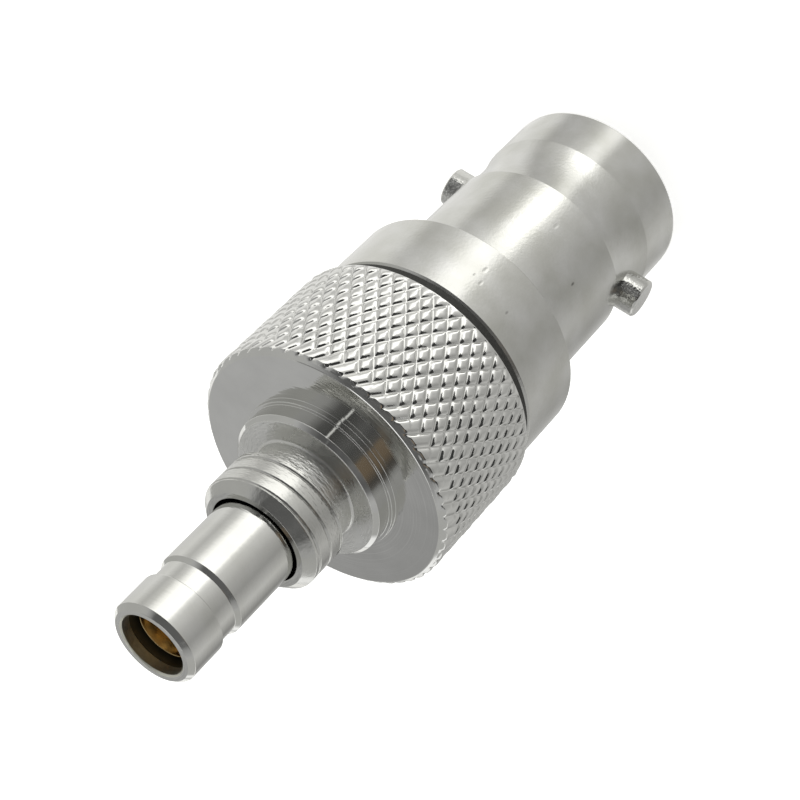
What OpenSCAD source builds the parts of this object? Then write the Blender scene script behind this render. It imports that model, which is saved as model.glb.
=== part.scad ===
// Coaxial adapter: a bayonet jack at one end, a push-in nose with a screw lock at the other.
// Millimetres. The jack's mouth stands on z = 0, the axis is +Z and the lugs lie along X.

/* [Main sizes] */
// Length from the jack's mouth to the end of the nose
overall_len = 35.28; // [34.3:0.02:36.3]

/* [Jack shell] */
// Outer radius of the jack barrel at its mouth
barrel_r = 4.83; // [4.75:0.01:4.95]
// Length of the straight barrel behind the mouth
barrel_len = 2.7; // [2.4:0.1:3.2]
// Length of the hollowed waist behind the barrel
waist_len = 3.02; // [2.8:0.02:3.4]
// Depth of the hollow in the waist
waist_depth = 0.19; // [0.05:0.01:0.25]
// Radius of the plain neck behind the waist
neck_r = 4.85; // [4.75:0.01:5.1]
// Length of the plain neck
neck_len = 6.3; // [5.5:0.1:8]
// Radius of the collar
collar_r = 6.13; // [5.8:0.01:6.4]
// Length of the collar
collar_len = 3.82; // [3:0.02:5]
// Chamfer on the collar's edges
collar_edge = 0.12; // [0.05:0.01:0.3]
// Chamfer on the outer edge of the mouth
mouth_edge = 0.1; // [0.03:0.01:0.2]
// Radius of the bore at the mouth
mouth_r = 4.06; // [3.9:0.01:4.15]
// Depth of the bore at the mouth
mouth_depth = 5.3; // [4.8:0.1:5.6]
// Thickness of the web that stops the insulator
web_t = 0.8; // [0.5:0.1:1.2]

/* [Bayonet lugs] */
// Radius of a lug
lug_r = 0.99; // [0.8:0.01:1.1]
// Distance from the axis to a lug's end
lug_reach = 5.7; // [5.3:0.05:5.9]
// Height of the lugs' axis above the mouth
lug_z = 4.4; // [4:0.05:4.6]
// Chamfer round a lug's end
lug_edge = 0.05; // [0.03:0.01:0.2]

/* [Jack inside] */
// Radius of the insulator's boss in the mouth
boss_r = 2.36; // [2.1:0.01:2.4]
// How far the boss lies inside the mouth
boss_recess = 0.35; // [0.1:0.05:0.8]
// Radius of the insulator's flange
flange_r = 3.3; // [2.9:0.05:3.4]
// Thickness of the insulator's rear washer
rear_t = 1; // [0.6:0.1:1.4]
// Radius of the socket contact
socket_r = 1.1; // [0.95:0.01:1.25]
// Radius of the hole in the socket contact
socket_bore_r = 0.68; // [0.64:0.01:0.72]
// Depth of the hole in the socket contact
socket_depth = 4.2; // [3.5:0.1:4.6]
// Width of the slots in the socket contact
slot_w = 0.2; // [0.15:0.01:0.24]
// Radius of the flange that holds the socket contact
socket_flange_r = 1.6; // [1.4:0.05:1.9]
// Thickness of that flange
socket_flange_t = 1.1; // [0.8:0.1:1.3]

/* [Plug body] */
// Radius of the spigot that sits in the shell
spigot_r = 3.6; // [3.5:0.05:3.9]
// Length of the spigot
spigot_len = 6; // [5:0.1:6.4]
// Radius of the journal that the screw turns on
journal_r = 4.2; // [4.1:0.02:4.4]
// Radius of the nose tube
nose_r = 2.136; // [2.05:0.01:2.2]
// Length of the head in front of the groove
head_len = 2.08; // [1.6:0.05:2.6]
// Length of the groove behind the head
groove_len = 1.21; // [0.8:0.05:1.5]
// Depth of the groove
groove_depth = 0.18; // [0.08:0.01:0.22]
// Chamfer round the end of the nose
nose_edge = 0.23; // [0.1:0.01:0.3]
// Radius of the bore at the end of the nose
nose_bore_r = 1.6; // [1.55:0.01:1.65]
// Depth of that bore
nose_bore_depth = 5.8; // [4.5:0.1:6.5]
// Radius of the line's outer conductor
line_r = 1.15; // [1.05:0.01:1.2]

/* [Plug inside] */
// Wall of the contact sleeve
sleeve_wall = 0.25; // [0.15:0.01:0.28]
// How far the sleeve's rim lies inside the nose
sleeve_recess = 0.91; // [0.5:0.05:1.4]
// Length of the sleeve's root in the plug body
sleeve_root = 4.5; // [3:0.1:5]
// Length of the insulator in the sleeve
bead_len = 3.4; // [2:0.1:4]
// Radius of the pin
pin_r = 0.5; // [0.4:0.01:0.55]
// How far the pin's tip lies inside the nose
pin_recess = 1.9; // [1.6:0.05:2.6]
// Length of the pin's tapered tip
pin_tip = 0.5; // [0.2:0.05:0.7]
// Length of the pin's tail in the socket contact
pin_tail = 1.5; // [1:0.1:1.8]

/* [Coupling screw] */
// Radius over the points of the knurl
knurl_r = 6.58; // [6.35:0.01:6.8]
// Depth of the knurl
knurl_depth = 0.18; // [0.1:0.01:0.24]
// Knurl grooves of one hand round the screw
knurl_teeth = 54; // [40:1:66]
// Rows of half diamonds along the screw
knurl_rows = 11; // [8:1:16]
// Length of the knurled head
head_t = 6.85; // [6.4:0.05:8]
// Length over which the knurl runs out at the front
knurl_front = 0.26; // [0.2:0.01:0.4]
// Length over which the knurl runs out at the back
knurl_back = 0.17; // [0.1:0.01:0.25]
// Plain chamfer round the head's front face
front_edge = 0.12; // [0.05:0.01:0.18]
// Plain chamfer round the head's back face
back_edge = 0.04; // [0.02:0.01:0.06]
// Thickness of the head's front wall
wall_t = 1.7; // [1.2:0.1:2]
// Radius of the low step on the head's face
step_r = 4.02; // [3.95:0.01:4.2]
// Height of the low step
step_h = 0.28; // [0.15:0.01:0.4]
// Radius of the boss in front of the step
boss2_r = 3.86; // [3.5:0.01:3.9]
// Height of the boss
boss2_h = 0.93; // [0.7:0.01:1.2]
// Chamfer round the boss
boss2_edge = 0.2; // [0.08:0.01:0.3]
// Radius of the relief behind the thread
relief_r = 2.56; // [2.5:0.01:2.7]
// Length of the relief
relief_len = 1.35; // [1:0.05:1.6]
// Outer radius of the thread
thread_r = 3.02; // [2.95:0.01:3.2]
// Length of the threaded end
thread_len = 2.35; // [2:0.05:3]
// Chamfer at the front of the thread
thread_edge = 0.45; // [0.2:0.01:0.5]

/* [Washer and ring] */
// Thickness of the black friction washer
washer_t = 0.65; // [0.5:0.05:1]
// How far the washer lies inside the collar's radius
washer_inset = 0.04; // [0:0.01:0.15]
// Radius of the retaining ring's wire
wire_r = 0.38; // [0.3:0.01:0.42]
// Gap in the retaining ring, in degrees
ring_gap = 50; // [30:5:70]
// Height of the retaining ring above the screw's back face
ring_rise = 1.9; // [1.5:0.05:2.2]

/* [Fits] */
// Gap round a piece that is pressed or bonded in place
seat_gap = 0.015; // [0.005:0.005:0.03]
// Radial running gap between the screw and its journal
run_gap = 0.07; // [0.04:0.01:0.09]
// Radial gap between the screw's bore and the nose tube
nose_gap = 0.12; // [0.06:0.01:0.14]
// Gap between the screw's back face and the washer
face_gap = 0.05; // [0.03:0.01:0.1]
// Free end space in front of the journal
end_gap = 0.35; // [0.2:0.05:0.5]
// Gap round the retaining ring in its grooves
ring_gap_r = 0.06; // [0.04:0.01:0.1]
// Radial gap between the washer and the journal
washer_gap = 0.12; // [0.05:0.01:0.2]

/* [Hidden] */
$fn = 96;
tiny = 0.01;

// Heights along the axis, from the jack's mouth to the nose
neck_z = barrel_len + waist_len;
collar_z = neck_z + neck_len;
face_z = collar_z + collar_len;
screw_z = face_z + washer_t + face_gap;
head_z = screw_z + head_t;
step_z = head_z + step_h;
boss2_z = step_z + boss2_h;
thread_z = boss2_z + relief_len;
lip_z = thread_z + thread_len;
nose_z = overall_len;
groove_z = nose_z - head_len - groove_len;

// Heights of the hidden pieces
web_z = mouth_depth + web_t;
spigot_z = face_z - spigot_len;
rear_z = spigot_z - rear_t;
socket_z = boss_recess + 0.15;
socket_flange_z = rear_z - socket_flange_t;
counter_z = head_z - wall_t;
journal_z = counter_z - end_gap;
bore_z = nose_z - nose_bore_depth;
root_z = bore_z - sleeve_root;
rim_z = nose_z - sleeve_recess;
bead_z = root_z + 0.6;
ring_z = screw_z + ring_rise;
ring_low_z = ring_z - wire_r - ring_gap_r;
ring_high_z = ring_z + wire_r + ring_gap_r;

// Radii that follow from the fits
web_r = boss_r + seat_gap;
seat_r = flange_r + seat_gap;
shell_bore_r = spigot_r + seat_gap;
sleeve_r = line_r + sleeve_wall;
counter_r = journal_r + run_gap;
screw_bore_r = nose_r + nose_gap;
ring_r = (journal_r + counter_r) / 2;
ring_floor_r = ring_r - wire_r - ring_gap_r;
ring_roof_r = ring_r + wire_r + ring_gap_r;
knurl_root_r = knurl_r - knurl_depth;
knurl_land_r = knurl_r - knurl_depth / 2;

// The waist is a circular hollow: its radius follows from its length and depth
waist_arc = (waist_len * waist_len / 4 + waist_depth * waist_depth) / (2 * waist_depth);

satin_nickel = [0.62, 0.62, 0.60];
bright_nickel = [0.74, 0.74, 0.72];
gold_plate = [0.80, 0.62, 0.25];
white_resin = [0.93, 0.92, 0.88];
black_rubber = [0.15, 0.15, 0.14];

// A round hole or pin along the axis from one height to another
module round_bar(r, z0, z1) {
    translate([0, 0, z0]) cylinder(r = r, h = z1 - z0);
}

// A radial pin along +X with a chamfered end
module radial_pin(r, reach, edge) {
    rotate([0, 90, 0]) rotate_extrude()
        polygon([[0, 0], [r, 0], [r, reach - edge], [r - edge, reach], [0, reach]]);
}

// The turned shell: barrel, hollowed waist, neck and collar, bored from both ends
module jack_shell() {
    color(satin_nickel)
    difference() {
        rotate_extrude()
            polygon([
                [0, 0], [barrel_r - mouth_edge, 0], [barrel_r, mouth_edge], [barrel_r, barrel_len],
                [barrel_r, neck_z], [neck_r, neck_z], [neck_r, collar_z],
                [collar_r - collar_edge, collar_z], [collar_r, collar_z + collar_edge],
                [collar_r, face_z - collar_edge], [collar_r - collar_edge, face_z], [0, face_z]
            ]);
        rotate_extrude()
            translate([barrel_r + waist_arc - waist_depth, barrel_len + waist_len / 2])
                circle(r = waist_arc);
        round_bar(mouth_r, -1, mouth_depth);
        round_bar(web_r, -1, web_z + tiny);
        round_bar(seat_r, web_z, spigot_z + tiny);
        round_bar(shell_bore_r, spigot_z, face_z + 1);
        for (turn = [0, 180])
            rotate([0, 0, turn]) translate([0, 0, lug_z]) rotate([0, 90, 0])
                cylinder(r = lug_r + seat_gap, h = barrel_r + 1);
    }
}

// One bayonet lug, pressed into the shell and flush with the bore inside
module bayonet_lug(turn) {
    color(bright_nickel)
    rotate([0, 0, turn])
    difference() {
        translate([0, 0, lug_z]) radial_pin(lug_r, lug_reach, lug_edge);
        round_bar(mouth_r, lug_z - 2 * lug_r, lug_z + 2 * lug_r);
    }
}

module bayonet_lug_right() {
    bayonet_lug(0);
}

module bayonet_lug_left() {
    bayonet_lug(180);
}

// White insulator: a boss in the mouth and a flange behind the web
module jack_insulator() {
    color(white_resin)
    difference() {
        rotate_extrude()
            polygon([
                [0, boss_recess], [boss_r - 0.1, boss_recess], [boss_r, boss_recess + 0.1],
                [boss_r, web_z], [flange_r, web_z], [flange_r, rear_z], [0, rear_z]
            ]);
        round_bar(socket_r + seat_gap, 0, rear_z + 1);
        round_bar(socket_flange_r + seat_gap, socket_flange_z, rear_z + 1);
    }
}

// White washer that closes the insulator behind the socket contact
module insulator_washer() {
    color(white_resin)
    difference() {
        round_bar(flange_r, rear_z, spigot_z);
        round_bar(pin_r + seat_gap, rear_z - 1, spigot_z + 1);
    }
}

// Socket contact: a slotted tube with a flange and a hole behind for the pin's tail
module jack_contact() {
    color(gold_plate)
    difference() {
        rotate_extrude()
            polygon([
                [0, socket_z], [socket_r - 0.12, socket_z], [socket_r, socket_z + 0.12],
                [socket_r, socket_flange_z], [socket_flange_r, socket_flange_z],
                [socket_flange_r, rear_z], [0, rear_z]
            ]);
        round_bar(socket_bore_r, 0, socket_z + socket_depth);
        round_bar(pin_r + seat_gap, rear_z - pin_tail - 0.1, rear_z + 1);
        for (turn = [0, 90])
            rotate([0, 0, turn]) translate([-socket_r - 1, -slot_w / 2, 0])
                cube([2 * socket_r + 2, slot_w, socket_z + 0.75 * socket_depth]);
    }
}

// Plug body: spigot in the shell, journal for the screw and the long nose tube
module plug_body() {
    color(bright_nickel)
    difference() {
        rotate_extrude()
            polygon([
                [0, spigot_z], [spigot_r, spigot_z], [spigot_r, face_z], [journal_r, face_z],
                [journal_r, journal_z], [nose_r, journal_z], [nose_r, groove_z],
                [nose_r - groove_depth, groove_z + groove_depth],
                [nose_r - groove_depth, groove_z + groove_len],
                [nose_r, groove_z + groove_len], [nose_r, nose_z - nose_edge],
                [nose_r - nose_edge, nose_z], [0, nose_z]
            ]);
        round_bar(line_r, spigot_z - 1, root_z + tiny);
        round_bar(sleeve_r + seat_gap, root_z, bore_z + tiny);
        round_bar(nose_bore_r, bore_z, nose_z + 1);
        difference() {
            round_bar(journal_r + 1, ring_low_z, ring_high_z);
            round_bar(ring_floor_r, ring_low_z - 1, ring_high_z + 1);
        }
    }
}

// Gold sleeve inside the nose
module contact_sleeve() {
    color(gold_plate)
    difference() {
        rotate_extrude()
            polygon([
                [0, root_z], [sleeve_r, root_z], [sleeve_r, rim_z - 0.06],
                [sleeve_r - 0.06, rim_z], [0, rim_z]
            ]);
        round_bar(line_r, root_z - 1, rim_z + 1);
    }
}

// White bead that carries the pin inside the sleeve
module plug_insulator() {
    color(white_resin)
    difference() {
        round_bar(line_r - seat_gap, bead_z, bead_z + bead_len);
        round_bar(pin_r + seat_gap, bead_z - 1, bead_z + bead_len + 1);
    }
}

// Pin through the plug body, with its tail in the socket contact
module plug_pin() {
    color(gold_plate)
    rotate_extrude()
        polygon([
            [0, rear_z - pin_tail], [pin_r, rear_z - pin_tail],
            [pin_r, nose_z - pin_recess - pin_tip], [0.4 * pin_r, nose_z - pin_recess],
            [0, nose_z - pin_recess]
        ]);
}

// Open spring ring of round wire, half in the journal and half in the screw
module retaining_ring() {
    color(bright_nickel)
    translate([0, 0, ring_z]) rotate([0, 0, ring_gap / 2])
        rotate_extrude(angle = 360 - ring_gap)
            translate([ring_r, 0]) circle(r = wire_r, $fn = 32);
}

// Black washer between the collar and the screw
module friction_washer() {
    color(black_rubber)
    difference() {
        round_bar(collar_r - washer_inset, face_z, face_z + washer_t);
        round_bar(journal_r + washer_gap, face_z - 1, face_z + washer_t + 1);
    }
}

// Diamond knurl: grooves of both hands cross where column plus row is even, points stand where it is odd
function knurl_ring(z, even_r, odd_r) = [
    for (i = [0 : 2 * knurl_teeth - 1])
        let (t = 180 * i / knurl_teeth, r = i % 2 == 0 ? even_r : odd_r)
        [r * cos(t), r * sin(t), z]
];

function plain_ring(z, r) = knurl_ring(z, r, r);

function knurl_row(k, z) =
    k % 2 == 0 ? knurl_ring(z, knurl_root_r, knurl_r) : knurl_ring(z, knurl_r, knurl_root_r);

// At the back the knurl runs out into a narrow land at half its depth, at the front into a plain chamfer
module knurled_head() {
    n = 2 * knurl_teeth;
    first_z = screw_z + knurl_back;
    last_z = head_z - knurl_front;
    pitch = (last_z - first_z) / knurl_rows;
    rings = concat(
        [plain_ring(screw_z, knurl_land_r - back_edge), plain_ring(screw_z + back_edge, knurl_land_r)],
        [for (k = [0 : knurl_rows]) knurl_row(k, first_z + k * pitch)],
        [plain_ring(head_z - front_edge, knurl_root_r), plain_ring(head_z, knurl_root_r - front_edge)]
    );
    points = [for (ring = rings) for (p = ring) p];
    last = len(rings) - 1;
    sides = [
        for (k = [0 : last - 1]) for (i = [0 : n - 1])
            let (a = k * n + i, b = k * n + (i + 1) % n, c = a + n, d = b + n)
            for (face = (k + i) % 2 == 0 ? [[a, c, d], [a, d, b]] : [[a, c, b], [b, c, d]])
                face
    ];
    ends = [[for (i = [0 : n - 1]) i], [for (i = [n - 1 : -1 : 0]) last * n + i]];
    polyhedron(points = points, faces = concat(sides, ends), convexity = 4);
}

// Coupling screw: knurled head, stepped boss, relief and threaded end, bored for journal and nose
module coupling_screw() {
    color(bright_nickel)
    difference() {
        union() {
            knurled_head();
            rotate_extrude()
                polygon([
                    [0, head_z - 1], [step_r, head_z - 1], [step_r, step_z], [boss2_r, step_z],
                    [boss2_r, boss2_z - boss2_edge], [boss2_r - boss2_edge, boss2_z],
                    [relief_r, boss2_z], [relief_r, thread_z], [thread_r, thread_z],
                    [thread_r, lip_z - thread_edge], [thread_r - thread_edge, lip_z], [0, lip_z]
                ]);
        }
        round_bar(counter_r, screw_z - 1, counter_z);
        round_bar(screw_bore_r, screw_z, lip_z + 1);
        round_bar(ring_roof_r, ring_low_z, ring_high_z);
    }
}

jack_shell();
bayonet_lug_right();
bayonet_lug_left();
jack_insulator();
insulator_washer();
jack_contact();
plug_body();
contact_sleeve();
plug_insulator();
plug_pin();
retaining_ring();
friction_washer();
coupling_screw();
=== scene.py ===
import math

import bpy
import numpy as np
from mathutils import Matrix, Vector


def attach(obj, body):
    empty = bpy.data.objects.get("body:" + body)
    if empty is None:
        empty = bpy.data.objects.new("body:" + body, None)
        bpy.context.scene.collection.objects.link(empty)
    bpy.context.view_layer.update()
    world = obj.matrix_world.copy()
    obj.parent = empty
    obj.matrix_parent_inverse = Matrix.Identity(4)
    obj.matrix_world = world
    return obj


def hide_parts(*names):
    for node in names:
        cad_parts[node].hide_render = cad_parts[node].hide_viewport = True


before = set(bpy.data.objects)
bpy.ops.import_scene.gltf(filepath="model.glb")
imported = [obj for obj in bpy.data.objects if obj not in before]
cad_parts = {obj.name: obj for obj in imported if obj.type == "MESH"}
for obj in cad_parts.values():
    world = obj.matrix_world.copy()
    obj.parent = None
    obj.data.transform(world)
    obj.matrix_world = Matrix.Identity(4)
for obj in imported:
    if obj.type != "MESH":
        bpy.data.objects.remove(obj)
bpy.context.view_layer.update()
MM = 0.001

# Sizes of the adapter in millimetres: radii from the axis, heights from the jack's mouth

# Jack shell
BARREL_R, BARREL_END, MOUTH_EDGE = 4.83, 2.7, 0.1
WAIST_DEPTH, WAIST_END = 0.19, 5.72
NECK_R, COLLAR_Z = 4.85, 12.02
COLLAR_R, FACE_Z, COLLAR_EDGE = 6.13, 15.84, 0.12
MOUTH_R, MOUTH_DEPTH = 4.06, 5.3
WEB_R, WEB_Z = 2.38, 6.1
SEAT_R, SHELL_BORE_R = 3.32, 3.62

# Bayonet lugs
LUG_R, LUG_ROOT, LUG_REACH, LUG_EDGE, LUG_Z = 0.99, 4.03, 5.7, 0.08, 4.4

# Plug body: spigot and journal inside, then the nose with its groove, bore and lip
SPIGOT_R, SPIGOT_Z = 3.6, 9.84
JOURNAL_R, JOURNAL_Z = 4.2, 21.34
NOSE_R, NOSE_Z, NOSE_EDGE = 2.136, 35.28, 0.23
GROOVE_R, GROOVE_Z, GROOVE_END = 1.956, 31.99, 33.2
NOSE_BORE_R, NOSE_BORE_Z, BORE_EDGE = 1.6, 29.48, 0.07
UNDERCUT_R, UNDERCUT_Z, LIP_BACK_Z = 1.68, 33.4, 34.74
ROOT_R, ROOT_Z, LINE_R = 1.415, 24.98, 1.15

# Gold sleeve, with a thin mouth
SLEEVE_R, THIN_R, THIN_Z, RIM_Z = 1.4, 1.33, 33.2, 34.37

# Friction washer
WASHER_R, WASHER_BORE_R, WASHER_T = 6.09, 4.32, 0.65

# Coupling screw
SCREW_Z, HEAD_Z, BACK_EDGE = 16.54, 23.39, 0.04
PAD_R, KNURL_ROOT_R, KNURL_LAND_R = 6.58, 6.43, 6.5
KNURL_TEETH, KNURL_ROWS = 54, 11
KNURL_FIRST, KNURL_LAST = 16.71, 23.13
FLANGE_R, FLANGE_EDGE = 6.28, 0.12
STEP_R, STEP_Z = 4.02, 23.67
BOSS_R, BOSS_Z, BOSS_EDGE = 3.86, 24.6, 0.2
RELIEF_R, THREAD_Z = 2.56, 25.95
THREAD_R, THREAD_BACK, THREAD_EDGE, LIP_Z = 3.02, 0.03, 0.45, 28.3
THREAD_PITCH, THREAD_DEPTH = 0.765, 0.06
SCREW_BORE_R, COUNTER_R, COUNTER_Z = 2.256, 4.27, 21.69
RING_GROOVE_R, RING_GROOVE_Z, RING_GROOVE_END = 4.675, 18.0, 18.88
# How far a turned face reaches over its edge to meet the knurl or the thread
SEAM = 0.02


# Shapes

def put(name, data):
    """Object with the given data, put in the scene."""
    made = bpy.data.objects.new(name, data)
    bpy.context.scene.collection.objects.link(made)
    return made


def rounded(corners, closed=True, steps=5):
    """Outline points and normals of a turned section: corners are (radius, height, rounding)."""
    places = [np.array(c[:2], float) for c in corners]
    last = len(corners) - 1
    most = 0.45  # share of a straight run that one rounding may take
    points, normals = [], []
    for i, here in enumerate(places):
        into, out = here - places[i - 1], places[0 if i == last else i + 1] - here
        if not closed:
            into, out = (out if i == 0 else into), (into if i == last else out)
        into_len, out_len = np.linalg.norm(into), np.linalg.norm(out)
        into, out = into / into_len, out / out_len
        turn = math.atan2(into[0] * out[1] - into[1] * out[0], into @ out)
        normal = np.array([into[1], -into[0]])
        if abs(turn) < 0.01:
            points.append(here)
            normals.append(normal)
            continue
        half = math.tan(abs(turn) / 2)
        cut = min(corners[i][2] * half, most * into_len, most * out_len)
        reach = math.copysign(cut / half, turn)
        for k in range(steps + 1):
            c, s = math.cos(turn * k / steps), math.sin(turn * k / steps)
            facing = np.array([normal[0] * c - normal[1] * s, normal[0] * s + normal[1] * c])
            points.append(here - cut * into + reach * (facing - normal))
            normals.append(facing)
    return np.array(points), np.array(normals)


def hollow_arc(z0, z1, radius, depth, steps=14):
    """Outline corners of a shallow circular hollow between two heights."""
    half = (z1 - z0) / 2
    arc = (half * half + depth * depth) / (2 * depth)
    places = [half * k / steps for k in range(-steps + 1, steps)]
    return [(radius + arc - depth - math.sqrt(arc * arc - p * p), z0 + half + p, 0.3) for p in places]


def spun(corners, columns, closed=True):
    """Sheet of a turned outline: places and normals by ring and column."""
    points, normals = rounded(corners, closed)
    if closed:
        points, normals = np.vstack([points, points[:1]]), np.vstack([normals, normals[:1]])
    t = 2 * np.pi * np.arange(columns + 1) / columns
    c, s = np.cos(t)[None], np.sin(t)[None]
    places = np.stack([points[:, :1] * c, points[:, :1] * s, points[:, 1:] + 0 * c], 2)
    facing = np.stack([normals[:, :1] * c, normals[:, :1] * s, normals[:, 1:] + 0 * c], 2)
    return places, facing


def field(radii, heights, columns, crisp):
    """Sheet of a cut surface from its radius at every ring and column; crisp keeps its facets flat."""
    t = 2 * np.pi * np.arange(columns + 1) / columns
    places = np.stack([radii * np.cos(t), radii * np.sin(t), heights[:, None] + 0 * radii], 2)
    return places, crisp


def skin(name, sheets):
    """One mesh from sheets: a turned sheet carries its normals, a cut sheet has them worked out."""
    verts, faces, loop_normals = [], [], []
    start = 0
    for places, facing in sheets:
        rings, columns = places.shape[:2]
        index = np.arange(rings * columns).reshape(rings, columns)
        a, b = index[:-1, :-1].ravel(), index[:-1, 1:].ravel()
        c, d = index[1:, :-1].ravel(), index[1:, 1:].ravel()
        flat = places.reshape(-1, 3)
        if isinstance(facing, np.ndarray):
            quads = np.stack([a, b, d, c], 1)
            faces += (quads + start).tolist()
            loop_normals.append(facing.reshape(-1, 3)[quads.ravel()])
        else:
            # Each cell is split along the diagonal that lies more level
            radius = np.linalg.norm(flat[:, :2], axis=1)
            level = np.abs(radius[a] - radius[d]) <= np.abs(radius[b] - radius[c])
            tris = np.concatenate([
                np.stack([a, b, d], 1)[level], np.stack([a, d, c], 1)[level],
                np.stack([a, b, c], 1)[~level], np.stack([b, d, c], 1)[~level],
            ])
            p = flat[tris]
            flat_normal = np.cross(p[:, 1] - p[:, 0], p[:, 2] - p[:, 0])
            soft = np.zeros_like(flat)
            for k in range(3):
                np.add.at(soft, tris[:, k], flat_normal)
            seam = soft.reshape(rings, columns, 3)
            seam[:, 0] += seam[:, -1]
            seam[:, -1] = seam[:, 0]
            soft /= np.linalg.norm(soft, axis=1)[:, None]
            flat_normal /= np.linalg.norm(flat_normal, axis=1)[:, None]
            mixed = facing * flat_normal[:, None] + (1 - facing) * soft[tris]
            faces += (tris + start).tolist()
            loop_normals.append(mixed.reshape(-1, 3))
        verts.append(flat)
        start += len(flat)
    mesh = bpy.data.meshes.new(name)
    mesh.from_pydata((np.vstack(verts) * MM).tolist(), [], faces)
    mesh.update()
    mesh.shade_smooth()
    way = np.vstack(loop_normals)
    mesh.normals_split_custom_set((way / np.linalg.norm(way, axis=1)[:, None]).tolist())
    return put(name, mesh)


# Materials

def linear(code):
    """Linear colour of an sRGB hex value."""
    parts = [int(code[k:k + 2], 16) / 255 for k in (1, 3, 5)]
    return [p / 12.92 if p <= 0.04045 else ((p + 0.055) / 1.055) ** 2.4 for p in parts] + [1.0]


def add(tree, kind, settings=None, links=None):
    """A node with its settings, sockets or attributes by name, and its links by socket name."""
    made = tree.nodes.new(kind)
    for key, value in (settings or {}).items():
        if key == "stops":
            ramp = made.color_ramp
            while len(ramp.elements) < len(value):
                ramp.elements.new(0.5)
            for element, (place, colour) in zip(ramp.elements, value):
                element.position, element.color = place, colour
        elif isinstance(key, int) or key in made.inputs:
            made.inputs[key].default_value = value
        else:
            setattr(made, key, value)
    for key, source in (links or {}).items():
        tree.links.new(source, made.inputs[key])
    return made


def material(name):
    """Material with an empty node tree, and that tree."""
    made = bpy.data.materials.new(name)
    made.use_nodes = True
    made.node_tree.nodes.clear()
    return made, made.node_tree


def turning_place(tree):
    """Place, and the same with radius plus height for its height: tool lines then ring each turned face."""
    place = add(tree, "ShaderNodeTexCoord").outputs["Object"]
    split = add(tree, "ShaderNodeSeparateXYZ", links={0: place})
    x, y, z = split.outputs
    across = add(tree, "ShaderNodeCombineXYZ", links={0: x, 1: y})
    radius = add(tree, "ShaderNodeVectorMath", {"operation": "LENGTH"}, {0: across.outputs[0]})
    along = add(tree, "ShaderNodeMath", {"operation": "ADD"}, {0: radius.outputs["Value"], 1: z})
    ringed = add(tree, "ShaderNodeCombineXYZ", links={0: x, 1: y, 2: along.outputs[0]})
    return place, ringed.outputs[0]


def plated(name, tones, roughness, lines, grain, dings=()):
    """Plate over a turned surface, with a cloudy tone.

    Lines are the tool's (spacing, length, height) and grain is (size, height), in millimetres. Both are
    drawn coarser and deeper than the real ones, which are too fine to show in the render.
    """
    made, tree = material(name)
    place, ringed = turning_place(tree)
    cloud_size, spread = 1.8, 0.15
    cloud = add(
        tree, "ShaderNodeTexNoise", {"Scale": 1 / (cloud_size * MM), "Detail": 3.0}, {"Vector": place},
    )
    stops = [(0.3, linear(tones[0])), (0.7, linear(tones[1]))]
    colour = add(tree, "ShaderNodeValToRGB", {"stops": stops}, {0: cloud.outputs[0]}).outputs[0]
    dull, bright = roughness * (1 + spread), roughness * (1 - spread)
    sheen = add(
        tree, "ShaderNodeMapRange", {"From Min": 0.3, "From Max": 0.7, "To Min": bright, "To Max": dull},
        {"Value": cloud.outputs[0]},
    )
    spacing, length, height = lines
    stretch = (1 / (length * MM), 1 / (length * MM), 1 / (spacing * MM))
    scaled = add(tree, "ShaderNodeVectorMath", {"operation": "MULTIPLY", 1: stretch}, {0: ringed})
    cut = add(tree, "ShaderNodeTexNoise", {"Scale": 1.0, "Detail": 2.0}, {"Vector": scaled.outputs[0]})
    surface = add(tree, "ShaderNodeBump", {"Distance": height * MM}, {"Height": cut.outputs[0]})
    size, height = grain
    speck = add(tree, "ShaderNodeTexNoise", {"Scale": 1 / (size * MM), "Detail": 2.0}, {"Vector": place})
    surface = add(
        tree, "ShaderNodeBump", {"Distance": height * MM},
        {"Height": speck.outputs[0], "Normal": surface.outputs[0]},
    )
    # Dings are drawn out along the axis, with a flat floor, and their colour is darkened toward a dark
    # grey-brown by each one's listed amount
    drawn_out, floor_share, depth_share, ding_tone = (1, 1, 0.5), 0.2, 0.08, linear("#3C3A35")
    for where, size, dark in dings:
        away = add(tree, "ShaderNodeVectorMath", {"operation": "SUBTRACT", 1: where}, {0: place})
        away = add(
            tree, "ShaderNodeVectorMath", {"operation": "MULTIPLY", 1: drawn_out}, {0: away.outputs[0]},
        )
        away = add(tree, "ShaderNodeVectorMath", {"operation": "LENGTH"}, {0: away.outputs[0]})
        ding = add(
            tree, "ShaderNodeMapRange",
            {"From Min": floor_share * size * MM, "From Max": size * MM, "To Min": 1.0, "To Max": 0.0},
            {"Value": away.outputs["Value"]},
        )
        shade = add(tree, "ShaderNodeMath", {"operation": "MULTIPLY", 1: dark}, {0: ding.outputs[0]})
        colour = add(
            tree, "ShaderNodeMix", {"data_type": "RGBA", 7: ding_tone}, {0: shade.outputs[0], 6: colour},
        ).outputs[2]
        surface = add(
            tree, "ShaderNodeBump", {"Distance": depth_share * size * MM, "invert": True},
            {"Height": ding.outputs[0], "Normal": surface.outputs[0]},
        )
    shader = add(
        tree, "ShaderNodeBsdfPrincipled", {"Metallic": 1.0},
        {"Base Color": colour, "Roughness": sheen.outputs[0], "Normal": surface.outputs[0]},
    )
    add(tree, "ShaderNodeOutputMaterial", links={"Surface": shader.outputs[0]})
    return made


def on_shell(turn, radius, height):
    """Place on the shell, by degrees round from the lug, in metres."""
    a = math.radians(turn)
    return (radius * math.cos(a) * MM, radius * math.sin(a) * MM, height * MM)


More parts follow.
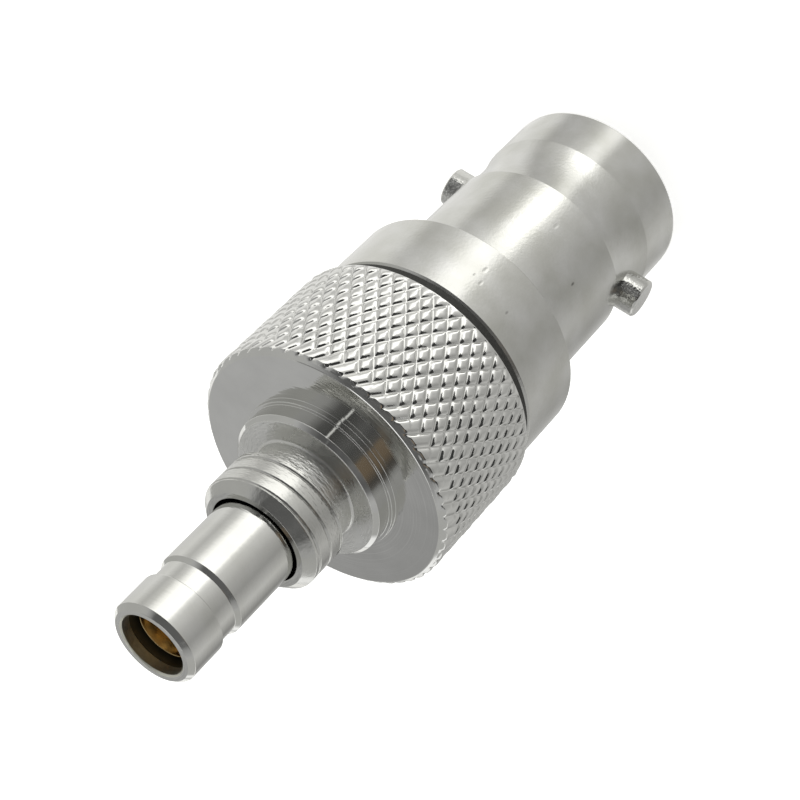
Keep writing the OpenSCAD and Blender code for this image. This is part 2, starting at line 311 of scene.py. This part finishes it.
# Pits and dings that the shell has picked up: place, size in millimetres and how dark
SHELL_DINGS = [
    (on_shell(43.6, 4.65, 2.9), 0.09, 0.9),
    (on_shell(42.1, NECK_R, 8.9), 0.09, 0.7),
    (on_shell(61.1, COLLAR_R, 14.4), 0.08, 0.4),
    (on_shell(77.6, COLLAR_R, 14.25), 0.1, 0.15),
    (on_shell(82.0, COLLAR_R, 14.1), 0.07, 0.3),
    (on_shell(80.0, COLLAR_R, 13.5), 0.12, 0.0),
    (on_shell(72.1, NECK_R, 7.55), 0.12, 0.0),
]

# Satin nickel plate on turned brass: a soft grey sheen, mottled, with a faint grain and a few pits
satin_nickel = plated(
    "satin nickel plate, turned", ("#BABAB4", "#CACAC7"), roughness=0.2,
    lines=(0.2, 1, 0.002), grain=(0.14, 0.006), dings=SHELL_DINGS,
)
# Bright nickel plate on turned brass: sharp reflections broken only by fine tool rings
bright_nickel = plated(
    "bright nickel plate, turned", ("#C9C9C4", "#D1D1CE"), roughness=0.1,
    lines=(0.1, 0.5, 0.006), grain=(0.2, 0.0003),
)
# Bright nickel plate over the knurl: the pads throw small hard lights
knurled_nickel = plated(
    "bright nickel plate, knurled", ("#C9C9C6", "#D3D3D0"), roughness=0.1,
    lines=(0.4, 2, 0.0), grain=(0.12, 0.0006),
)
# Bright nickel plate over a faced cut: a mirror, drawn out across by its tool rings
faced_nickel = plated(
    "bright nickel plate, faced", ("#C8C8C5", "#D0D0CD"), roughness=0.05,
    lines=(0.12, 6, 0.005), grain=(0.3, 0.0),
)
# Nickel plate over the thread: a little duller, scored by the threading tool
threaded_nickel = plated(
    "nickel plate, threaded", ("#BEBEBA", "#C9C9C5"), roughness=0.16,
    lines=(0.1, 0.35, 0.016), grain=(0.15, 0.001),
)
# Nickel plate in the relief behind the thread: dull and rough from the undercutting tool, with its tone
# painted paler than the other plate to offset the shade in that groove
lifted_relief_nickel = plated(
    "nickel plate, undercut, painted paler", ("#CFCFCB", "#D9D9D6"), roughness=0.28,
    lines=(0.1, 0.35, 0.02), grain=(0.2, 0.01),
)
# Thin plate on the lip of the nose's bore: dull and faintly olive
bore_plate = plated(
    "thin nickel plate, bored", ("#CBCBC0", "#D6D6CC"), roughness=0.4,
    lines=(0.2, 3, 0.004), grain=(0.15, 0.02),
)
# Bare brass in the bore behind that lip, dull, with painted shade: its colour is darker than brass to stand
# for the shadow there
shaded_brass = plated(
    "bare brass, bored, painted shade", ("#6E6857", "#7A7464"), roughness=0.5,
    lines=(0.2, 3, 0.0006), grain=(0.1, 0.0004),
)
# Nickel plate over the ground lugs: bright but uneven
polished_nickel = plated(
    "nickel plate, ground", ("#C6C6C2", "#D2D2CE"), roughness=0.12,
    lines=(0.4, 2, 0.0), grain=(0.13, 0.022),
)
# Gold plate on turned bronze: warm, a little soft
gold_plate = plated(
    "gold plate, turned", ("#DBC08C", "#E2C998"), roughness=0.2,
    lines=(0.2, 3, 0.0008), grain=(0.1, 0.0003),
)
# Drawn spring wire: brownish bronze
spring_wire = plated(
    "bronze spring wire, drawn", ("#A88F62", "#B59C6E"), roughness=0.25,
    lines=(0.2, 3, 0.0006), grain=(0.1, 0.0003),
)


def moulded(name, tones, roughness, ior, grain):
    """Rubber or resin: an even tone, with a grain (size, height) in millimetres, coarse enough to show."""
    made, tree = material(name)
    place = add(tree, "ShaderNodeTexCoord").outputs["Object"]
    size, height = grain
    speck = add(tree, "ShaderNodeTexNoise", {"Scale": 1 / (size * MM), "Detail": 3.0}, {"Vector": place})
    stops = [(0.35, linear(tones[0])), (0.65, linear(tones[1]))]
    tone = add(tree, "ShaderNodeValToRGB", {"stops": stops}, {0: speck.outputs[0]})
    surface = add(tree, "ShaderNodeBump", {"Distance": height * MM}, {"Height": speck.outputs[0]})
    shader = add(
        tree, "ShaderNodeBsdfPrincipled", {"Roughness": roughness, "IOR": ior},
        {"Base Color": tone.outputs[0], "Normal": surface.outputs[0]},
    )
    add(tree, "ShaderNodeOutputMaterial", links={"Surface": shader.outputs[0]})
    return made


# Black nitrile rubber, cut from sheet: dull and dark
black_rubber = moulded("nitrile rubber, cut", ("#2A2A27", "#363632"), 0.7, 1.5, (0.12, 0.004))
# White fluoropolymer, turned: waxy and even
white_resin = moulded("fluoropolymer, turned", ("#E6E5DF", "#EFEEE9"), 0.45, 1.35, (0.2, 0.002))


# Pieces

def dress(made, finish, slot, body, *nodes):
    """Finish on a piece that rides on a body in place of its solids."""
    made.data.materials.clear()
    made.data.materials.append(finish)
    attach(made, body)
    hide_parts(*nodes)


def finish_faces(made, finishes, choose):
    """More finishes on a piece, chosen for each face by its height and radius in millimetres."""
    for finish in finishes:
        made.data.materials.append(finish)
    for face in made.data.polygons:
        height, radius = face.center.z / MM, math.hypot(face.center.x, face.center.y) / MM
        face.material_index = choose(height, radius)


def keep(node, finish):
    """Finish on a solid that stays as it is."""
    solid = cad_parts[node]
    solid.data.materials.clear()
    solid.data.materials.append(finish)


# Jack shell: barrel, hollowed waist, neck and collar, bored behind the mouth
shell = [(BARREL_R - MOUTH_EDGE, 0, 0.05), (BARREL_R, MOUTH_EDGE, 0.05), (BARREL_R, BARREL_END, 0.3)]
shell += hollow_arc(BARREL_END, WAIST_END, BARREL_R, WAIST_DEPTH)
shell += [
    (BARREL_R, WAIST_END, 0.015), (NECK_R, WAIST_END + 0.01, 0.015), (NECK_R, COLLAR_Z, 0.08),
    (COLLAR_R - COLLAR_EDGE, COLLAR_Z, 0.06), (COLLAR_R, COLLAR_Z + COLLAR_EDGE, 0.06),
    (COLLAR_R, FACE_Z - COLLAR_EDGE, 0.05), (COLLAR_R - COLLAR_EDGE, FACE_Z, 0.05),
    (SHELL_BORE_R, FACE_Z, 0.03), (SHELL_BORE_R, SPIGOT_Z, 0.02),
    (SEAT_R, SPIGOT_Z, 0.02), (SEAT_R, WEB_Z, 0.02), (WEB_R, WEB_Z, 0.02), (WEB_R, MOUTH_DEPTH, 0.03),
    (MOUTH_R, MOUTH_DEPTH, 0.1), (MOUTH_R, 0, 0.06),
]
dress(skin("jack_shell_turned", [spun(shell, 256)]), satin_nickel, "satin_nickel", "adapter", "jack_shell")

# Bayonet lugs: ground pins pressed into the shell
AXIS_R = 0.001
for side, node in ((1, "bayonet_lug_right"), (-1, "bayonet_lug_left")):
    pin = [
        (AXIS_R, LUG_ROOT, 0.001), (LUG_R, LUG_ROOT, 0.03), (LUG_R, LUG_REACH - LUG_EDGE, 0.03),
        (LUG_R - LUG_EDGE, LUG_REACH, 0.03), (AXIS_R, LUG_REACH, 0.001),
    ]
    lug = skin(node + "_ground", [spun(pin, 64)])
    sideways = Matrix.Rotation(side * math.pi / 2, 4, "Y")
    lug.data.transform(Matrix.Translation((0, 0, LUG_Z * MM)) @ sideways)
    dress(lug, polished_nickel, "polished_nickel", "adapter", node)

# Plug body: spigot and journal inside, then the grooved nose
plug = [
    (SPIGOT_R, SPIGOT_Z, 0.03), (SPIGOT_R, FACE_Z, 0.03), (JOURNAL_R, FACE_Z, 0.03),
    (JOURNAL_R, JOURNAL_Z, 0.1), (NOSE_R, JOURNAL_Z, 0.05),
    (NOSE_R, GROOVE_Z, 0.03), (GROOVE_R, GROOVE_Z + NOSE_R - GROOVE_R, 0.05), (GROOVE_R, GROOVE_END, 0.06),
    (NOSE_R, GROOVE_END, 0.04), (NOSE_R, NOSE_Z - NOSE_EDGE, 0.05), (NOSE_R - NOSE_EDGE, NOSE_Z, 0.04),
    (NOSE_BORE_R + BORE_EDGE, NOSE_Z, 0.03), (NOSE_BORE_R, NOSE_Z - BORE_EDGE, 0.03),
    (NOSE_BORE_R, LIP_BACK_Z, 0.03), (UNDERCUT_R, LIP_BACK_Z - 0.06, 0.02), (UNDERCUT_R, UNDERCUT_Z, 0.05),
    (NOSE_BORE_R, UNDERCUT_Z - 0.1, 0.05), (NOSE_BORE_R, NOSE_BORE_Z, 0.05),
    (ROOT_R, NOSE_BORE_Z, 0.02), (ROOT_R, ROOT_Z, 0.02), (LINE_R, ROOT_Z, 0.02), (LINE_R, SPIGOT_Z, 0.02),
]
body = skin("plug_body_turned", [spun(plug, 192)])
dress(body, bright_nickel, "bright_nickel", "adapter", "plug_body")


def plug_finish(height, radius):
    """Bright plate, thin plate on the lip of the bore, and behind it bare brass painted darker as shade."""
    margin = 0.02
    if height <= NOSE_BORE_Z - 4 * margin or radius >= UNDERCUT_R + margin:
        return 0
    return 1 if height > LIP_BACK_Z - margin else 2


finish_faces(body, (bore_plate, shaded_brass), plug_finish)

# Gold sleeve inside the nose
sleeve = [
    (SLEEVE_R, ROOT_Z, 0.02), (SLEEVE_R, RIM_Z - 0.03, 0.02), (SLEEVE_R - 0.02, RIM_Z, 0.02),
    (THIN_R, RIM_Z, 0.02), (THIN_R, THIN_Z, 0.1), (LINE_R, THIN_Z - 0.2, 0.1), (LINE_R, ROOT_Z, 0.02),
]
sleeve = skin("contact_sleeve_turned", [spun(sleeve, 128)])
dress(sleeve, gold_plate, "gold_plate", "adapter", "contact_sleeve")

# Friction washer, cut from sheet
washer = [
    (WASHER_R, FACE_Z, 0.06), (WASHER_R, FACE_Z + WASHER_T, 0.06),
    (WASHER_BORE_R, FACE_Z + WASHER_T, 0.03), (WASHER_BORE_R, FACE_Z, 0.03),
]
washer = skin("friction_washer_cut", [spun(washer, 192)])
dress(washer, black_rubber, "black_rubber", "adapter", "friction_washer")


def knurl():
    """Radius over the knurled head: pillowed pads between crossing grooves.

    They run out into a plain land at the back and into a crisp chamfer at the front.
    """
    cells = 6  # rings in a half row, and columns in half a groove's spacing
    columns, rows = 2 * KNURL_TEETH * cells, KNURL_ROWS * cells
    edge_z, edge_r, edge_start = HEAD_Z - FLANGE_EDGE, KNURL_ROOT_R - 0.02, 0.03
    heights = np.concatenate([
        [SCREW_Z, SCREW_Z + BACK_EDGE, SCREW_Z + 0.1],
        KNURL_FIRST + (KNURL_LAST - KNURL_FIRST) * np.arange(rows + 1) / rows,
        [KNURL_LAST + 0.05, KNURL_LAST + 0.1, edge_z, edge_z + edge_start, HEAD_Z - SEAM],
    ])
    k = (heights - KNURL_FIRST) / (KNURL_LAST - KNURL_FIRST) * KNURL_ROWS
    i = np.arange(columns + 1) / cells
    u, v = (i[None] + k[:, None]) / 2, (i[None] - k[:, None]) / 2

    # Grooves stray a little from even spacing, and one set of them fades out before the front edge
    astray, uneven, leaning = 0.03, 0.03, 0.08
    chance = np.random.default_rng(5)
    stray = chance.normal(0, astray, (2, KNURL_TEETH))
    fade_z, fade_len = 22.5, 0.5
    fade = np.clip((heights - fade_z) / fade_len, 0, 1)[:, None]
    width, flank, corner = 0.85, 2.4, 2.5  # share of a pad's half, hollowness, roundness of a pad's corners
    drop = []
    for way, (w, ends) in enumerate(((u, fade), (v, 0))):
        groove = np.round(w).astype(int) % KNURL_TEETH
        away = 2 * np.abs(w - np.round(w) - stray[way][groove]) + ends
        drop.append((1 - np.clip(away / width, 0, 1)) ** flank)

    # No two pads are quite as full or lie quite level
    which = np.floor(u).astype(int) % KNURL_TEETH, np.floor(v).astype(int) % KNURL_TEETH
    full = 1 - uneven * chance.random((KNURL_TEETH, KNURL_TEETH))[which]
    for w in (u, v):
        lean = chance.normal(0, leaning, (KNURL_TEETH, KNURL_TEETH))[which]
        across = w - np.floor(w)
        full = full - np.abs(lean) * np.where(lean > 0, across, 1 - across)
    pad = full * np.clip(1 - (drop[0] ** corner + drop[1] ** corner) ** (1 / corner), 0, 1)

    # Grooves run in from the land and out into the chamfer
    land_z, run_in, run_out, ease = SCREW_Z + BACK_EDGE, 0.1, 0.2, 0.7
    into = np.clip((heights - land_z) / (KNURL_FIRST + run_in - land_z), 0, 1)
    out = np.clip((edge_z - heights) / run_out, 0, 1)
    crest = PAD_R - (PAD_R - KNURL_LAND_R) * (1 - into) - (PAD_R - edge_r) * (1 - out) ** 2
    cut = np.minimum(into, out) ** ease
    radii = crest[:, None] - (PAD_R - KNURL_ROOT_R) * (1 - pad) * cut[:, None]
    radii[0] = KNURL_LAND_R - BACK_EDGE
    radii[-2] = edge_r - edge_start
    radii[-1] = FLANGE_R + SEAM
    return field(radii, heights, columns, crisp=0.35)


def thread():
    """Radius over the threaded end: one shallow right-hand groove between wide crests, and the chamfer."""
    columns, step, first = 216, 0.025, 0.095
    heights = np.arange(THREAD_Z + THREAD_BACK, LIP_Z - SEAM, step)
    t = np.arange(columns + 1) / columns
    phase = (heights[:, None] - THREAD_Z - first) / THREAD_PITCH - t[None]
    away = np.abs(phase - np.round(phase)) * THREAD_PITCH
    groove = np.interp(away, [0, 0.02, 0.06, 0.08], [1, 0.9, 0.08, 0])
    front = THREAD_R - THREAD_EDGE + (LIP_Z - heights)
    radii = np.minimum(THREAD_R - THREAD_DEPTH * groove, front[:, None])
    return field(radii, heights, columns, crisp=0.2)


# Coupling screw: knurled head, stepped boss, relief, threaded end, and the bores inside
outside = [
    (FLANGE_R + SEAM, HEAD_Z - SEAM, 0.02), (FLANGE_R - 0.02, HEAD_Z, 0.06), (STEP_R, HEAD_Z, 0.03),
    (STEP_R, STEP_Z, 0.04), (BOSS_R, STEP_Z, 0.03), (BOSS_R, BOSS_Z - BOSS_EDGE, 0.06),
    (BOSS_R - BOSS_EDGE, BOSS_Z, 0.06), (RELIEF_R, BOSS_Z, 0.15), (RELIEF_R, THREAD_Z, 0.12),
    (THREAD_R - THREAD_BACK, THREAD_Z, 0.02), (THREAD_R, THREAD_Z + THREAD_BACK, 0.02),
]
inside = [
    (THREAD_R - THREAD_EDGE + SEAM, LIP_Z - SEAM, 0.01), (THREAD_R - THREAD_EDGE, LIP_Z, 0.03),
    (SCREW_BORE_R, LIP_Z, 0.05), (SCREW_BORE_R, COUNTER_Z, 0.05), (COUNTER_R, COUNTER_Z, 0.05),
    (COUNTER_R, RING_GROOVE_END, 0.02), (RING_GROOVE_R, RING_GROOVE_END, 0.02),
    (RING_GROOVE_R, RING_GROOVE_Z, 0.02), (COUNTER_R, RING_GROOVE_Z, 0.02),
    (COUNTER_R, SCREW_Z, 0.05), (KNURL_LAND_R - BACK_EDGE, SCREW_Z, 0.03),
]
screw = skin("coupling_screw_knurled", [
    spun(outside, 216, closed=False), thread(), spun(inside, 216, closed=False), knurl(),
])
dress(screw, faced_nickel, "turned_nickel", "screw", "coupling_screw")


def screw_finish(height, radius):
    """Faced plate, with the knurl's round the head, then the relief's, painted paler against its shade, and
    the thread's.
    """
    within_knurl_r, outside_bore_r, margin = 6, 2.3, 0.02
    if SCREW_Z < height < HEAD_Z and radius > within_knurl_r:
        return 1
    if height > BOSS_Z - margin and radius > outside_bore_r:
        return 2 if height > THREAD_Z else 3
    return 0


finish_faces(screw, (knurled_nickel, threaded_nickel, lifted_relief_nickel), screw_finish)

# Pieces inside keep their solids
for node in ("jack_insulator", "insulator_washer", "plug_insulator"):
    keep(node, white_resin)
for node in ("jack_contact", "plug_pin"):
    keep(node, gold_plate)
keep("retaining_ring", spring_wire)


# Camera: 35.9 degrees above the mouth's plane, rolled so that the nose points to the lower left. The
# mouth's centre is at a place in the picture, in pixels, and at a depth in millimetres.

LUG_TURN, ROLL, TILT = math.radians(19.4), math.radians(134.13), math.radians(35.9)
FOCAL_PX, DEPTH = 2107.2, 107.14
MOUTH_X, MOUTH_Y = 590.5, 195.2
PICTURE_PX, SENSOR_MM = 800, 36


def from_view(x, y, z):
    """Direction in the adapter's frame of one given as right, down and forward in the picture."""
    axis = Vector((math.cos(ROLL) * math.cos(TILT), math.sin(ROLL) * math.cos(TILT), -math.sin(TILT)))
    first = axis.cross(Vector((0, 0, 1))).normalized()
    second = axis.cross(first)
    v = Vector((x, y, z))
    a, b, u = v.dot(first), v.dot(second), v.dot(axis)
    c, s = math.cos(LUG_TURN), math.sin(LUG_TURN)
    return Vector((a * c + b * s, b * c - a * s, u))


right, down, ahead = from_view(1, 0, 0), from_view(0, 1, 0), from_view(0, 0, 1)
mouth_right, mouth_down = ((p - PICTURE_PX / 2) / FOCAL_PX * DEPTH for p in (MOUTH_X, MOUTH_Y))
mouth = from_view(mouth_right, mouth_down, DEPTH)
lens = bpy.data.cameras.new("camera")
lens.sensor_width = SENSOR_MM
lens.lens = SENSOR_MM * FOCAL_PX / PICTURE_PX
lens.clip_start, lens.clip_end = 0.005, 5
camera = put("camera", lens)
camera.matrix_world = Matrix((
    (right.x, -down.x, -ahead.x, -mouth.x * MM),
    (right.y, -down.y, -ahead.y, -mouth.y * MM),
    (right.z, -down.z, -ahead.z, -mouth.z * MM),
    (0, 0, 0, 1),
))
bpy.context.scene.camera = camera
camera_turn = math.atan2(-mouth.y, -mouth.x)


# Studio: pale floor, even light, and cards that show only in reflections; tones are linear

ROOM_AWAY, CEILING_AWAY, CARD_AWAY = 320, 310, 330
WORLD_GREY = 0.58


def round_about(turns, rises, distances):
    """Grid of places by degrees from the camera's side, degrees above the floor and millimetres."""
    a, e = camera_turn + np.radians(turns), np.radians(rises)
    x, y, z = np.cos(a) * np.cos(e), np.sin(a) * np.cos(e), np.sin(e) + 0 * a
    return np.stack([x, y, z], 2) * (distances + 0 * a)[..., None]


card_finish, tree = material("studio card")
shade = add(tree, "ShaderNodeAttribute", {"attribute_name": "tone"})
shine = add(tree, "ShaderNodeEmission", links={"Color": shade.outputs["Color"]})
add(tree, "ShaderNodeOutputMaterial", links={"Surface": shine.outputs[0]})


def card(name, places, level, tint=(1, 1, 1)):
    """Card that shows only in reflections: a grid of places in millimetres, their brightness and a tint."""
    rows, columns = places.shape[:2]
    index = np.arange(rows * columns).reshape(rows, columns)
    faces = np.stack([index[:-1, :-1], index[:-1, 1:], index[1:, 1:], index[1:, :-1]], 2).reshape(-1, 4)
    mesh = bpy.data.meshes.new(name)
    mesh.from_pydata((places.reshape(-1, 3) * MM).tolist(), [], faces.tolist())
    tones = level if level.ndim == 3 else level[..., None] * tint
    shades = np.concatenate([tones, np.ones((rows, columns, 1))], 2)
    mesh.attributes.new("tone", "FLOAT_COLOR", "POINT").data.foreach_set("color", shades.ravel())
    mesh.materials.append(card_finish)
    made = put(name, mesh)
    made.visible_camera = made.visible_diffuse = made.visible_shadow = made.visible_transmission = False


# White paper, smooth: an even pale floor, lifted to white where it is seen and where metal shows it
FLOOR_HALF, FLOOR_LIFT, FIBRE = 600, 0.6, 0.4
floor_finish, tree = material("paper sweep")
path = add(tree, "ShaderNodeLightPath").outputs
seen = add(
    tree, "ShaderNodeMath", {"operation": "ADD"}, {0: path["Is Camera Ray"], 1: path["Is Glossy Ray"]},
)
seen = add(
    tree, "ShaderNodeMath", {"operation": "ADD", "use_clamp": True},
    {0: seen.outputs[0], 1: path["Is Transmission Ray"]},
)
lift = add(tree, "ShaderNodeMath", {"operation": "MULTIPLY", 1: FLOOR_LIFT}, {0: seen.outputs[0]})
place = add(tree, "ShaderNodeTexCoord").outputs["Object"]
fibre = add(tree, "ShaderNodeTexNoise", {"Scale": 1 / (FIBRE * MM)}, {"Vector": place})
stops = [(0.3, linear("#F3F3F1")), (0.7, linear("#F6F6F4"))]
paper = add(tree, "ShaderNodeValToRGB", {"stops": stops}, {0: fibre.outputs[0]})
matt = add(tree, "ShaderNodeBsdfDiffuse", links={"Color": paper.outputs[0]})
glow = add(tree, "ShaderNodeEmission", {"Color": linear("#FFFFFF")}, {"Strength": lift.outputs[0]})
both = add(tree, "ShaderNodeAddShader", links={0: matt.outputs[0], 1: glow.outputs[0]})
add(tree, "ShaderNodeOutputMaterial", links={"Surface": both.outputs[0]})
floor_mesh = bpy.data.meshes.new("floor")
corners = [(x * FLOOR_HALF * MM, y * FLOOR_HALF * MM, 0) for x, y in ((-1, -1), (1, -1), (1, 1), (-1, 1))]
floor_mesh.from_pydata(corners, [], [(0, 1, 2, 3)])
floor_mesh.materials.append(floor_finish)
put("floor", floor_mesh)

# Ring of card on the floor, in three zones that the barrel, the shell and the nose see, by degrees from
# the camera's side and brightness: mid grey, a lit strip on one side and a paler back. Close to the axis
# the barrel sees the floor just below itself, so there they are drawn in towards the camera's side.
BARREL_ZONE = [
    (-180, 0.8), (-145, 0.53), (-108, 0.8), (-60, 0.53), (-15, 0.67), (14, 0.8), (25, 1.5), (35, 1.5),
    (46, 1.0), (62, 0.74), (90, 0.62), (110, 1.05), (165, 1.08), (180, 0.8),
]
SHELL_ZONE = [
    (-180, 0.62), (-165, 0.62), (-138, 0.47), (-100, 0.69), (-60, 0.51), (-30, 0.6), (0, 0.82), (14, 1.0),
    (23, 2.0), (41, 1.8), (51, 1.2), (61, 0.92), (85, 0.72), (102, 1.1), (165, 1.02), (180, 0.7),
]
NOSE_ZONE = [
    (-180, 0.55), (-165, 0.5), (-142, 0.32), (-100, 0.72), (-60, 0.42), (-30, 0.58), (0, 0.85), (9, 1.1),
    (16, 1.8), (50, 1.75), (60, 1.4), (72, 0.88), (90, 0.67), (115, 0.95), (165, 0.76), (180, 0.57),
]
RING_RADII = [4.9, 5.6, 6.5, 8.5, 10, 11, 13, 17, 28, 40, 44, 80, 130, 300]
RING_Z, RING_TINT, WAIST_GAIN, FAR_FLOOR = 0.02, (1, 0.995, 0.975), 0.35, 1.15
turns, radii = np.meshgrid(np.arange(-180, 181, 3.0), RING_RADII)
drawn = np.clip(turns * 2 / (2 - BARREL_R / radii), -180, 180)
zones = (BARREL_ZONE, SHELL_ZONE, NOSE_ZONE)
for_barrel, for_shell, for_nose = (np.interp(drawn, *zip(*zone)) for zone in zones)
to_shell, to_nose = np.interp(radii, [8.5, 10], [0, 1]), np.interp(radii, [40, 44], [0, 1])
level = for_barrel * (1 - to_shell) + (for_shell * (1 - to_nose) + for_nose * to_nose) * to_shell
# The lit strip is brighter where the waist sees it, and the far floor is bright behind
waist = np.interp(radii, [10, 11, 13, 17], [0, 1, 1, 0]) * np.interp(drawn, [4, 14, 44, 56], [0, 1, 1, 0])
level *= 1 + WAIST_GAIN * waist
level = np.where((radii > 100) & (np.abs(turns) > 95), FAR_FLOOR, level)
places = round_about(turns, 0 * turns, radii)
places[..., 2] = RING_Z
card("card ring", places, level, RING_TINT)

# Dark things behind the camera, as in a room: degrees from the camera's side, tone at the height of the
# lens, warmth of that tone, tone higher up. One narrow bright gap draws a thin line across the hub.
# The sides fade into the grey of the world, and the top into the dim ceiling.
ROOM_LOW, ROOM_TOP = 0.05, 0.16
ROOM = [
    (-100, 0.58, 0, 0.58), (-80, 0.6, 0, 0.36), (-72, 0.45, 0, 0.2), (-66, 0.18, 0.05, 0.15),
    (-60, 0.12, 0.08, 0.14), (-44, 0.23, 0.3, 0.19), (-28, 0.25, 0.28, 0.19), (-22, 0.17, 0.05, 0.16),
    (-12, 0.15, 0, 0.13), (0, 0.2, 0, 0.12), (18, 0.14, 0, 0.11), (24, 0.13, 0, 0.11),
    (25, 1.3, 0, 0.2), (27, 1.3, 0, 0.2), (28, 0.13, 0, 0.12), (42, 0.18, 0, 0.13),
    (54, 0.4, 0, 0.22), (60, 0.52, 0, 0.3), (80, 0.58, 0, 0.58),
]
turns, rises = np.meshgrid([r[0] for r in ROOM], [0, 25, 31, 40, 46, 60, 75])
lens_high = np.array([[tone * (1 + warm), tone, tone * (1 - warm)] for _, tone, warm, _ in ROOM])
higher = np.array([[tone] * 3 for _, _, _, tone in ROOM])
lower = np.interp(turns, [-76, -67, 30, 44], [WORLD_GREY, ROOM_LOW, ROOM_LOW, 0.5])[..., None]
bands = ([25, 31], [40, 46], [60, 75])
at_lens, above, top = (np.interp(rises, band, [0, 1])[..., None] for band in bands)
tones = lower * (1 - at_lens) + lens_high * at_lens
tones = tones * (1 - above) + higher * above
tones = tones * (1 - top) + ROOM_TOP * top
card("card behind the camera", round_about(turns, rises, ROOM_AWAY), tones)

# Dim ceiling, dimmest on the camera's side, with a long lamp on it from straight above down to the right,
# which rounded edges throw back as thin lines
CEILING_NEAR, CEILING_FAR, CEILING_LAMP = 0.15, 0.28, 1.5
turns, rises = np.meshgrid(np.arange(-180, 181, 15.0), [58, 77, 79, 89])
lit = (rises > 78) | (np.abs(turns + 90) < 20)
level = np.where(lit, CEILING_LAMP, np.interp(np.abs(turns), [60, 110], [CEILING_NEAR, CEILING_FAR]))
card("ceiling", round_about(turns, rises, CEILING_AWAY), level)

# Pale card low on the right, which edges throw back
PALE_CARD = 1.3
turns, rises = np.meshgrid([-155, -147, -120, -112], [-1, 2, 12, 16])
inner = (turns > -150) & (turns < -115) & (rises > 0) & (rises < 14)
level = np.where(inner, PALE_CARD, WORLD_GREY)
card("card on the right", round_about(turns, rises, CARD_AWAY), level)

# Grey card on the far side, seen in the flange: degrees from the camera's side and tone
FAR = [(-150, 0.5), (-165, 0.42), (-176, 0.42), (-178, 0.47), (-180, 0.53), (-183, 0.575), (-190, 0.58)]
FAR_RISES = [5, 15, 60, 70]
turns, rises = np.meshgrid([t for t, _ in FAR], FAR_RISES)
ends = np.interp(rises, FAR_RISES, [1, 0, 0, 1])
level = np.array([tone for _, tone in FAR]) * (1 - ends) + WORLD_GREY * ends
card("card on the far side", round_about(turns, rises, CARD_AWAY), level)

# Even world light and two large lamps high up on the far side
world = bpy.data.worlds.new("studio")
world.use_nodes = True
bpy.context.scene.world = world
world.node_tree.nodes.clear()
sky = add(world.node_tree, "ShaderNodeBackground", {"Color": linear("#C8C8C6"), "Strength": 1.0})
add(world.node_tree, "ShaderNodeOutputWorld", links={"Surface": sky.outputs[0]})
LAMP_SIZE, LAMP_POWER, LAMP_RISE, LAMP_AWAY = 300, 0.5, 72, 600
for name, turn in (("lamp left", 150), ("lamp right", -150)):
    lamp = bpy.data.lights.new(name, "AREA")
    lamp.shape, lamp.size, lamp.energy = "SQUARE", LAMP_SIZE * MM, LAMP_POWER
    stand = put(name, lamp)
    stand.location = round_about(np.array([[turn]]), LAMP_RISE, LAMP_AWAY)[0, 0] * MM
    stand.rotation_mode = "QUATERNION"
    stand.rotation_quaternion = (-stand.location).to_track_quat("-Z", "Y")

bpy.context.scene.view_settings.view_transform = "Standard"

bpy.context.view_layer.update()
